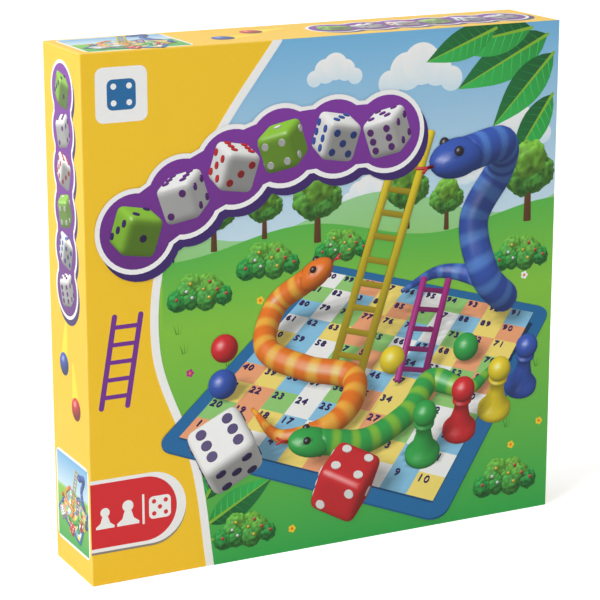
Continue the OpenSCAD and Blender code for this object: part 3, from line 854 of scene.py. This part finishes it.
def print_piece(name, side, parts):
    """One mesh of print on a side of the box, riding with that side's body."""
    points, faces, inks = [], [], []
    for part_points, part_faces, tints in parts:
        start = len(points)
        points += [side.place(point) for point in part_points]
        faces += [tuple(index + start for index in face) for face in part_faces]
        inks += [value for corners in tints for tint in corners for value in (*tint, 1.0)]
    mesh = bpy.data.meshes.new(name)
    mesh.from_pydata(points, [], faces)
    layer = mesh.color_attributes.new("ink", "FLOAT_COLOR", "CORNER")
    layer.data.foreach_set("color", inks)
    mesh.materials.append(INK)
    piece = add_object(name, mesh)
    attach(piece, side.body)


# Scenery behind the pictured game


# The edge of the picture, from the top down
FIELD_EDGE = smooth_path([(-30, HALF), (-62, 92), (-92, 40), (-98, -18), (-78, -78), (-70, -HALF)], 12)
HORIZON = 22
HILL_FOOT = -8
LAWN_PLANTS = 90

# Rise, swing and phase of the far and the near hill, and the colour of its crest
HILLS = ((44, 9, 0.4, rgb(156, 212, 150)), (34, 6, 2.2, rgb(92, 184, 76)))

# Root, length and direction in degrees of each leaf
LEAVES = (
    (128, 128, 60, 205), (132, 118, 52, 225), (118, 132, 54, 188), (132, 96, 44, 235), (96, 133, 44, 200),
    (-73, -99, 44, 58), (-71, -112, 42, 28), (-70, -121, 38, 4),
)

# Place and size of each cloud, tree and bush
CLOUDS = ((52, 112, 1.1), (112, 78, 0.9), (2, 116, 0.7), (84, 56, 0.6), (22, 52, 0.7))
TREES = ((-66, 44, 0.8), (-38, 46, 0.7), (-8, 45, 0.95), (44, 46, 0.9), (68, 40, 0.7), (118, 46, 1.1))
BUSHES = ((-74, 8, 0.8), (-36, 20, 0.8), (6, 24, 0.7), (114, 8, 0.8), (-50, -122, 0.8), (108, -118, 0.9))
BACK_CLOUDS = ((-78, 52, 0.9), (-32, 40, 0.7), (92, 54, 0.6))
BACK_TREES = ((-92, 8, 0.9), (-66, 5, 0.7), (-12, 12, 0.8), (92, 8, 0.9))
BACK_BUSHES = ((-88, -22, 0.8), (-86, -98, 0.7), (88, -98, 0.8))


def edge_at(v):
    """Where the picture begins at a height."""
    v = max(FIELD_EDGE[-1].y, min(FIELD_EDGE[0].y, v))
    for a, b in zip(FIELD_EDGE, FIELD_EDGE[1:]):
        if b.y <= v <= a.y:
            return a.x + (b.x - a.x) * (a.y - v) / max(a.y - b.y, 1e-6)
    return FIELD_EDGE[-1].x


def backdrop(point):
    """Colour of the sky or the lawn at a point."""
    v = point[1]
    if v > HORIZON:
        return mix(PALE_SKY, SKY, (v - HORIZON) / (HALF - HORIZON))
    return mix(LIME, GREEN, (HORIZON - v) / (HALF + HORIZON))


def hill(rise, swing, phase, crest, level):
    """Rolling hill that takes the lawn's colour at its foot."""
    foot = backdrop((0, HILL_FOOT))
    columns = []
    for u in spaced(-98, HALF, 40):
        top = rise + swing * math.sin(u / 24 + phase)
        columns.append((top, HILL_FOOT, max(u, edge_at(top) + 1)))
    rows = rows_prism(columns, 0, 1, lambda point: crest if point[0] > HORIZON else foot)
    # The columns were made as rows, so they are turned on their side
    points = [(p.y, p.x, 3 + level - p.z) for p in rows.points]
    return Shape(points, rows.faces, rows.tints, smooth=True)


def scenery():
    """Sky, clouds, hills, lawn and leaves, with the white line at the edge of the picture."""
    rows = [(edge_at(v), HALF, v) for v in spaced(-HALF, HALF, 60)]
    shapes = [rows_prism(rows, 0, 1, backdrop)]
    for cloud_form in CLOUDS:
        shapes += cloud(*cloud_form)
    for level, hill_form in enumerate(HILLS):
        shapes.append(hill(*hill_form, level))
    for level, leaf_form in enumerate(LEAVES):
        shapes += leaf(*leaf_form, level)
    line = stroke(FIELD_EDGE, 2.2)
    shapes.append(prism(clipped(line, HALF, HALF), 0, 16, WHITE))
    return plain(shapes + lawn_detail()) + planted(TREES, 8, BUSHES, 12)


def tuft(u, v, top):
    """Three blades of grass."""
    blades = []
    for lean in (-1, 0, 1):
        outline = [(u + lean, v), (u + lean + 0.9, v), (u + 2.6 * lean + 0.4, v + 5.5)]
        blades.append(prism(outline, 4, top, shade(backdrop((u, v)), 0.68 + 0.2 * lean)))
    return blades


def flower(u, v, top, colour):
    """Flower with five petals."""
    petals = []
    for k, middle in enumerate(circle((u, v), 1.3, 5)):
        petals.append(prism(circle(middle, 0.95, 12), 4, top + 0.02 * k, colour))
    return petals + [prism(circle((u, v), 0.8, 12), 4, top + 0.1, ORANGE)]


def lawn_detail():
    """Grass tufts and small flowers, spread over the lawn by steps that do not line up."""
    near, far = 8 - HALF, HORIZON - 12
    shapes = []
    for i in range(LAWN_PLANTS):
        u = 2 * HALF * (0.618 * i % 1) - HALF
        v = far - (far - near) * (0.414 * i % 1)
        if not edge_at(v) + 7 < u < HALF - 5:
            continue
        top = 5.1 + 0.008 * i
        if i % 3:
            shapes += tuft(u, v, top)
        else:
            shapes += flower(u, v, top, (WHITE, YELLOW, MAGENTA)[i % 9 // 3])
    return shapes


def small_picture(shapes, at, size, rise, low, thickness=3):
    """Picture of solids seen from in front, and from above by the rise, in layers of print."""
    distance = 400
    view = View((0, -distance, rise), (0, 0, 0), distance * size, at)
    return flattened(shapes, view, low, thickness)


def tree_picture(at, size, low):
    """Round-headed tree, drawn as lit solids."""
    trunk = [Vector((0, 0, -16)), Vector((0, 0, 4))]
    shapes = [tube(trunk, [2.2, 1.6], BARK, 10)]
    for x, y, z, radius in ((-7, 0, 8, 8), (7, 1, 8, 8), (0, -2, 14, 10), (-2, 2, 4, 8), (3, -3, 5, 7)):
        shapes.append(foliage(Vector((x, y, z)), radius, mix(GREEN, LIME, (z + 2) / 22)))
    return small_picture(shapes, at, size, 40, low)


def bush_picture(at, size, low):
    """Low leafy bush, with a few flowers."""
    shapes = []
    for row, count in enumerate((4, 3, 2)):
        for i in range(count):
            x = (i - (count - 1) / 2) * 10.5 + 1.5 * math.sin(5.1 * i + 2 * row)
            radius = 7 + 0.8 * math.sin(3.7 * i + row)
            z = row * 4.4 + math.sin(2.9 * i)
            green = mix(GREEN, LIME, 0.25 * row + 0.1 * (i % 3))
            shapes.append(foliage(Vector((x, 2.5 * row, z)), radius, green))
            blossom = Vector((x + 2 * math.sin(7 * i), 2.5 * row - 1.1 * radius, z + 2))
            shapes.append(ball(blossom, 1.1, (RED, WHITE, YELLOW)[(i + row) % 3], steps=7))
    return small_picture(shapes, at, size, 60, low)


def planted(trees, tree_layer, bushes, bush_layer):
    """Trees, then bushes; the later ones of each kind lie over the earlier."""
    parts = []
    for picture, places, layer in ((tree_picture, trees, tree_layer), (bush_picture, bushes, bush_layer)):
        for i, (u, v, size) in enumerate(places):
            parts += picture((u, v), size, layer + 0.3 * i)
    return parts


def cloud(u, v, size, low=1):
    """Cloud of overlapping puffs, paler above; low is its layer of print."""

    def tint(point):
        return mix(PALE_SKY, WHITE, max(0.0, min(1.0, 0.6 + (point[1] - v) / (12 * size))))

    puffs = []
    forms = ((-17, -3, 6), (16, -3, 6), (-8, 2, 9), (8, 2, 8), (0, 5, 10))
    for level, (du, dv, radius) in enumerate(forms):
        outline = clipped(circle((u + du * size, v + dv * size), radius * size), HALF, HALF)
        puffs.append(prism(outline, low, low + 1 + 0.2 * level, tint))
    return puffs


def leaf(u, v, length, degrees, level):
    """Broad pointed leaf in two greens, one for each side of its rib, with fine veins."""
    turn = math.radians(degrees)
    ahead = Vector((math.cos(turn), math.sin(turn)))
    across = Vector((-ahead.y, ahead.x))
    root = Vector((u, v))
    rib = spaced(root, root + ahead * length, 10)
    outlines = []
    for sign, colour in ((1, GREEN), (-1, DARK_GREEN)):
        edge = []
        for i in range(1, 10):
            swell = length * 0.19 * math.sin(math.pi * (i / 10) ** 0.8)
            edge.append(rib[i] + across * sign * swell)
        half = [tuple(p) for p in [rib[0]] + edge + [rib[-1]]]

        def tint(point, colour=colour):
            share = (Vector(point[:2]) - rib[0]).length / length
            return mix(shade(colour, 0.7), shade(colour, 1.25), min(1.0, share))

        outlines.append((half if sign < 0 else half[::-1], tint, 0))
        for i in range(1, 8):
            vein = [rib[i], rib[i].lerp(edge[i], 0.9)]
            outlines.append((stroke(vein, [0.32, 0.1]), shade(colour, 1.5), 0.1))
    outlines.append((stroke([rib[0], rib[-1]], [0.9, 0.15]), shade(LIME, 0.8), 0.15))
    parts = []
    for outline, tint, lift in outlines:
        outline = clipped(outline, HALF, HALF)
        if len(outline) > 2:
            parts.append(prism(outline, 5, 6 + 0.2 * level + lift, tint))
    return parts


# The pictured game


# Knots from tail to head, thickness, colour and bands of each snake
SNAKES = (
    (
        ((-70, -34, 7), (-48, -60, 8), (-16, -50, 8), (-10, -18, 9), (-42, -4, 9), (-70, 16, 11),
         (-68, 46, 20), (-46, 48, 36)),
        7.5, ORANGE, rgb(250, 190, 70),
    ),
    (
        ((16, 70, 7), (44, 88, 8), (76, 72, 10), (88, 38, 18), (72, 28, 42), (62, 44, 70),
         (76, 54, 96), (74, 40, 118), (52, 22, 122)),
        9.5, BLUE, rgb(96, 150, 230),
    ),
    (
        ((84, -10, 6), (64, -34, 7), (40, -24, 7), (26, -50, 7), (2, -70, 8), (-24, -76, 16)),
        7, GREEN, LIME,
    ),
)
PAWN_PLACES = ((58, -62, 0), (80, -48, 0), (36, -78, 0), (98, -30, 0))
BALL_PLACES = ((-98, 22, 9), (14, -4, 9), (62, 2, 9), (-92, -12, 9))


def game_picture(parts, numbers, lens, at, low, thickness):
    """Picture of a board with snakes, ladders, pawns, balls and dice; its cells may show numbers."""
    shapes = [shape.moved(turned(0, 0, -24)) for shape in numbered_board(170, -3, parts, numbers)]
    for form in SNAKES:
        shapes += snake(*form)
    shapes += ladder((-16, -4, 4), (22, 96, 104), 20, 10, PLASTIC_YELLOW)
    shapes += ladder((26, -20, 4), (40, 40, 34), 17, 5, MAGENTA)
    shapes += [pawn(place, colour, 1.15) for place, colour in zip(PAWN_PLACES, PIECE_COLOURS)]
    shapes += [ball(Vector(place), 8.5, colour) for place, colour in zip(BALL_PLACES, PIECE_COLOURS)]
    shapes += die((-76, -76, 17), 30, turned(16, -12, 30), WHITE, DARK_PURPLE, 5, 6, 3)
    shapes += die((-6, -106, 15), 27, turned(-8, 14, -22), RED, WHITE, 2, 4, 1)
    view = View((30, -410, 330), (0, 0, 8), lens, at)
    return flattened(shapes, view, low, thickness)


# Banner of dice


FRONT_BANNER = smooth_path([(-108, 46), (-72, 66), (-26, 82), (32, 84)], 30)

# Front, top and right faces of each die, then its colour and the colour of its pips
BANNER_DICE = (
    (1, 2, 4, LIME, DARK_PURPLE),
    (2, 6, 4, WHITE, PURPLE),
    (3, 6, 2, WHITE, RED),
    (4, 1, 2, LIME, WHITE),
    (5, 3, 1, WHITE, BLUE),
    (6, 5, 4, WHITE, PURPLE),
)


def evenly(path, count):
    """Points at equal distances along a path, from its first to its last."""
    lengths = [0.0]
    for a, b in zip(path, path[1:]):
        lengths.append(lengths[-1] + (b - a).length)
    spots = []
    for goal in spaced(0, lengths[-1], count - 1):
        nearest = min(range(len(path)), key=lambda k: abs(lengths[k] - goal))
        spots.append(path[nearest])
    return spots


def banner(path, radius, die_size, low):
    """Purple plaque with a scalloped edge along a path, and a row of dice from one to six on it."""
    spots = evenly(path, len(BANNER_DICE))
    drop = Vector((radius * 0.14, -radius * 0.22))
    middle = sum(point.y for point in path) / len(path)
    reach = max(abs(point.y - middle) for point in path) + radius * 1.2

    def sheen(point):
        return mix(shade(PURPLE, 0.72), shade(PURPLE, 1.3), 0.5 + (point[1] - middle) / (2 * reach))

    still = Vector((0, 0))
    layers = ((1.2, drop, DARK_PURPLE), (1.2, still, WHITE), (1.06, still, sheen))
    shapes = []
    for level, (size, offset, colour) in enumerate(layers):
        top = low + 2 * (level + 1)
        strip = stroke([point + offset for point in path], radius * size * 0.8)
        shapes.append(prism(strip, low, top, colour))
        for i, spot in enumerate(spots):
            outline = circle(spot + offset, radius * size, 40)
            shapes.append(prism(outline, low, top + 0.1 * (i + 1), colour))
    parts = plain(shapes)
    for spot, (front, top, right, colour, pips) in zip(spots, BANNER_DICE):
        lean = 1 if front % 2 else -1
        solids = die((0, 0, 0), die_size, turned(22, 9 * lean, 26 * lean), colour, pips, front, top, right)
        parts += small_picture(solids, spot, 1, 0, low + 7.5, 6)
    return parts


# Small marks on the yellow field


def pawn_outline(at, size):
    """Outline of a playing piece seen from the side."""
    half = [(0.5, 0), (0.5, 0.12), (0.26, 0.3), (0.16, 0.62)]
    for turn in spaced(math.pi / 6, math.pi, 10):
        half.append((0.25 * math.sin(turn), 0.85 - 0.25 * math.cos(turn)))
    outline = half + [(-u, v) for u, v in reversed(half[:-1])]
    return [(at[0] + u * size, at[1] + v * size) for u, v in outline]


def die_mark(at, size, number, colour, pip_colour):
    """Flat die seen from the front."""
    shapes = [prism(rounded_box(at, size, size, size * 0.2), 0, 4, colour)]
    for u, v in PIP_PLACES[number]:
        spot = (at[0] + u * size * 0.27, at[1] + v * size * 0.27)
        shapes.append(prism(circle(spot, size * 0.1, 18), 0, 5, pip_colour))
    return shapes


def flat_ladder(foot, head, across, rungs, radii, colour, level, rung_share=1):
    """Flat ladder; radii are those of its rails and rungs, and level is the rails' layer of print."""
    shapes = []
    for sign in (1, -1):
        rail = stroke([foot + sign * across, head + sign * across], radii[0])
        shapes.append(prism(rail, 0, level, colour))
    reach = across * rung_share
    for i in range(rungs):
        middle = foot.lerp(head, (i + 0.6) / (rungs + 0.2))
        rung = stroke([middle - reach, middle + reach], radii[1])
        shapes.append(prism(rung, 0, level + 1, colour))
    return shapes


def player_tab():
    """Red tab with a shadow on the left edge, with two pawns and a die."""
    shapes = []
    for size, drop, colour, level in ((1.0, 1.2, TAB_SHADOW, 1), (1.0, 0, WHITE, 2), (0.9, 0, RED, 3)):
        tab = rounded_box((-HALF, -98 - drop), 104 * size, 38 * size, 19 * size, 12)
        shapes.append(prism(clipped(tab, HALF, HALF), 0, level, colour))
    bar = rounded_box((-106.6, -98), 1.2, 16, 0.5)
    for outline in (pawn_outline((-127.4, -105), 10), pawn_outline((-115, -105), 12), bar):
        shapes.append(prism(outline, 0, 4, WHITE))
    return shapes + die_mark((-97.5, -98), 12, 5, WHITE, RED)


def field_marks():
    """White tile, ladder and red tab on the yellow field."""
    shapes = [prism(rounded_box((-114, 114), 27, 27, 4), 0, 2, WHITE)]
    shapes += die_mark((-114, 114), 15, 4, RIM_BLUE, WHITE)
    foot, head, across = Vector((-121, -42)), Vector((-113, 4)), Vector((7, 0))
    shapes += flat_ladder(foot, head, across, 5, (1.4, 1.1), PURPLE, 2, 6.6 / 7)
    return plain(shapes + player_tab())


# Print of the other sides


def falling_ball(at, colour, tail):
    """Ball with a pale streak behind it."""
    radius = 6
    outline = stroke([Vector(at), Vector(at) + Vector(tail)], [radius * 0.85, radius * 0.2])
    parts = plain([prism(outline, 0, 1, shade(YELLOW, 1.25))])
    return parts + small_picture([ball(Vector(), radius, colour)], at, 1.01, 60, 2, 5)


def picture_panel(at, width, height, low=3):
    """Small framed picture of the game on a lawn under the sky; low is the game's layer of print."""
    u, v = at

    def tint(point):
        share = (point[1] - v) / height + 0.5
        return mix(GREEN, LIME, share / 0.6) if share < 0.6 else mix(PALE_SKY, SKY, (share - 0.6) / 0.4)

    border = prism(rounded_box(at, width + 3, height + 3, 4.5), 0, 1, WHITE)
    rows = [(u - width / 2, u + width / 2, row) for row in spaced(v - height / 2, v + height / 2, 20)]
    parts = plain([border, rows_prism(rows, 0, 2, tint)])
    # Through a lens of 1 mm the picture is 0.455 mm wide and 0.376 mm high, and a little off its middle
    lens = min((width - 2) / 0.455, (height - 2) / 0.376)
    middle = (u + 0.015 * lens, v - 0.029 * lens)
    return parts + game_picture(2, False, lens, middle, low, 16)


def narrow_print(start, end, balls, *panel):
    """Print of a narrow side: banner from start to end, falling balls and a small picture."""
    parts = banner(spaced(Vector(start), Vector(end), 100), 12.5, 14, 1)
    for form in balls:
        parts += falling_ball(*form)
    return parts + picture_panel(*panel)


def spine_print(mirror):
    """Print of an upright side."""
    balls = (((-7 * mirror, -26), BLUE, (4, 24)), ((8 * mirror, -46), RED, (-3, 22)))
    return narrow_print((0, 114), (0, 14), balls, (0, -98), 42, 46)


def top_print():
    """Print of the top."""
    balls = (((-30, 7), RED, (20, 5)), ((-52, -7), BLUE, (20, 4)))
    return narrow_print((14, 0), (114, 0), balls, (-102, 0), 54, 42)


def back_print():
    """Print of the back: a framed picture of the game among trees, and a row of dice above it."""
    parts = picture_panel((0, -18), 216, 184, 11)
    for form in BACK_CLOUDS:
        parts += plain(cloud(*form, 1.5))
    parts += planted(BACK_TREES, 4, BACK_BUSHES, 4)
    return parts + banner(spaced(Vector((-75, 106)), Vector((75, 106)), 150), 17, 19, 1)


# Print of the board inside the box


# First and last cell of each ladder and each snake, and its colours
BOARD_LADDERS = ((4, 56, ORANGE), (21, 42, MAGENTA), (28, 84, PURPLE), (51, 67, RED), (71, 91, BLUE))
BOARD_SNAKES = ((2, 38, GREEN, LIME), (24, 62, BLUE, SKY), (36, 78, ORANGE, YELLOW), (48, 95, RED, TAN))


def flat_snake(tail, head, sway, colour, spot_colour):
    """Flat wavy snake with spots along its back."""
    knots = spaced(tail, head, 6)
    across = (head - tail).orthogonal().normalized() * sway
    for i in range(1, 6):
        knots[i] += across if i % 2 else -across
    path = smooth_path(knots, 8)
    radii = [1.2 + 3.2 * min(1.0, 2 * i / len(path)) for i in range(len(path))]
    shapes = [prism(stroke(path, radii), 0, 6, colour)]
    for i in range(6, len(path) - 4, 5):
        shapes.append(prism(circle(path[i], radii[i] * 0.55, 14), 0, 7, spot_colour))
    shapes.append(prism(circle(path[-1], 6.4, 24), 0, 7, colour))
    return shapes


def board_print():
    """Coloured and numbered cells in a green border, with ladders and snakes."""
    side, border = BOARD_SIDE * 0.88, BOARD_SIDE * 0.97
    step = side / CELLS
    shapes = [prism(rounded_box((0, 0), border, border, 5), 0, 1, LIME)]
    shapes.append(cells_shape(side, 0, 2, 1))
    shapes += board_numbers(side, (-0.2, 0.28), 0.34, 0, 3)
    for low, high, colour in BOARD_LADDERS:
        foot, head = cell_middle(low, side), cell_middle(high, side)
        across = (head - foot).orthogonal().normalized() * step * 0.24
        rungs = int((head - foot).length / 11)
        shapes += flat_ladder(foot, head, across, rungs, (1.6, 1.3), colour, 4)
    for low, high, *colours in BOARD_SNAKES:
        shapes += flat_snake(cell_middle(low, side), cell_middle(high, side), step * 0.6, *colours)
    return plain(shapes)


# Studio


def look(holder, target):
    """Turns a lamp or camera towards a point."""
    holder.rotation_mode = "QUATERNION"
    holder.rotation_quaternion = (Vector(target) - holder.location).to_track_quat("-Z", "Y")


def add_lamp(name, place, size, power):
    """Square soft lamp aimed at the box."""
    lamp = bpy.data.lights.new(name, "AREA")
    lamp.size = size
    lamp.energy = power
    holder = add_object(name, lamp)
    holder.location = place
    look(holder, lid_middle)
    holder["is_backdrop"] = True


def seen_rays(tree):
    """One for rays from the camera, in reflections and through clear things, and zero for others."""
    rays = add_node(tree, "ShaderNodeLightPath").outputs
    seen = math_node(tree, "MAXIMUM", rays["Is Camera Ray"], rays["Is Glossy Ray"])
    return math_node(tree, "MAXIMUM", seen, rays["Is Transmission Ray"])


def add_floor():
    """Pale floor that shows white to the camera and keeps the shadow."""
    mesh = bpy.data.meshes.new("floor")
    reach = 6
    corners = [(-reach, -reach, 0), (reach, -reach, 0), (reach, reach, 0), (-reach, reach, 0)]
    mesh.from_pydata(corners, [], [(0, 1, 2, 3)])
    material, tree, shader = new_material("floor")
    # The lamps light less of the floor far off, so it glows more there
    distance = add_node(tree, "ShaderNodeVectorMath", operation="LENGTH", Vector=object_place(tree))
    glow = ranged(tree, distance.outputs["Value"], 0.5, 0.74, 0, 2)
    set_up(
        tree, shader,
        Base_Color=mixed(tree, noise(tree, 3), rgb(246, 246, 246), rgb(252, 252, 252)),
        Roughness=0.9,
        Emission_Color=(1, 1, 1),
        Emission_Strength=math_node(tree, "MULTIPLY", seen_rays(tree), glow),
    )
    mesh.materials.append(material)
    floor = add_object("floor", mesh)
    floor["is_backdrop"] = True


def add_world():
    """White surroundings to the camera and in reflections, and an even soft light otherwise."""
    world = bpy.data.worlds.new("studio")
    world.use_nodes = True
    tree = world.node_tree
    strength = ranged(tree, seen_rays(tree), 0.3, 1.0)
    set_up(tree, tree.nodes["Background"], Color=(1, 1, 1), Strength=strength)
    bpy.context.scene.world = world


def add_camera():
    """Camera at the photograph's place and angle."""
    camera = bpy.data.cameras.new("camera")
    camera.sensor_width = 36
    camera.lens = 133.5
    holder = add_object("camera", camera)
    holder.location = (-0.5146, -1.0069, 0.4240)
    azimuth, elevation = math.radians(-26.83), math.radians(14.68)
    level = math.cos(elevation)
    back = Vector((math.sin(azimuth) * level, -math.cos(azimuth) * level, math.sin(elevation)))
    look(holder, holder.location - back)
    bpy.context.scene.camera = holder


dress_nodes()
print_piece("cover_scenery", FRONT, scenery())
cover_game = game_picture(parts=5, numbers=True, lens=480, at=(24, -36), low=17, thickness=24)
print_piece("cover_game", FRONT, cover_game)
print_piece("cover_banner", FRONT, banner(FRONT_BANNER, radius=18, die_size=20.5, low=42))
print_piece("cover_marks", FRONT, field_marks())
print_piece("left_spine_print", LEFT, spine_print(1))
print_piece("right_spine_print", RIGHT, spine_print(-1))
print_piece("top_print", TOP, top_print())
print_piece("back_print", BACK, back_print())
print_piece("board_print", BOARD, board_print())

add_world()
add_floor()
add_lamp("key", (-1.55, -0.45, 1.7), 1.2, 36)
add_lamp("fill", (0.6, -2.0, 0.8), 1.6, 6.5)
add_lamp("top", (-0.3, 0.6, 1.8), 1.2, 5)
add_lamp("back", (-0.9, 2.0, 0.7), 1.6, 5)
add_camera()
bpy.context.scene.view_settings.view_transform = "Standard"

boxes = {"cad": cad_bounds, "visual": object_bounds()}
{name: [list(low), list(high)] for name, (low, high) in boxes.items()}
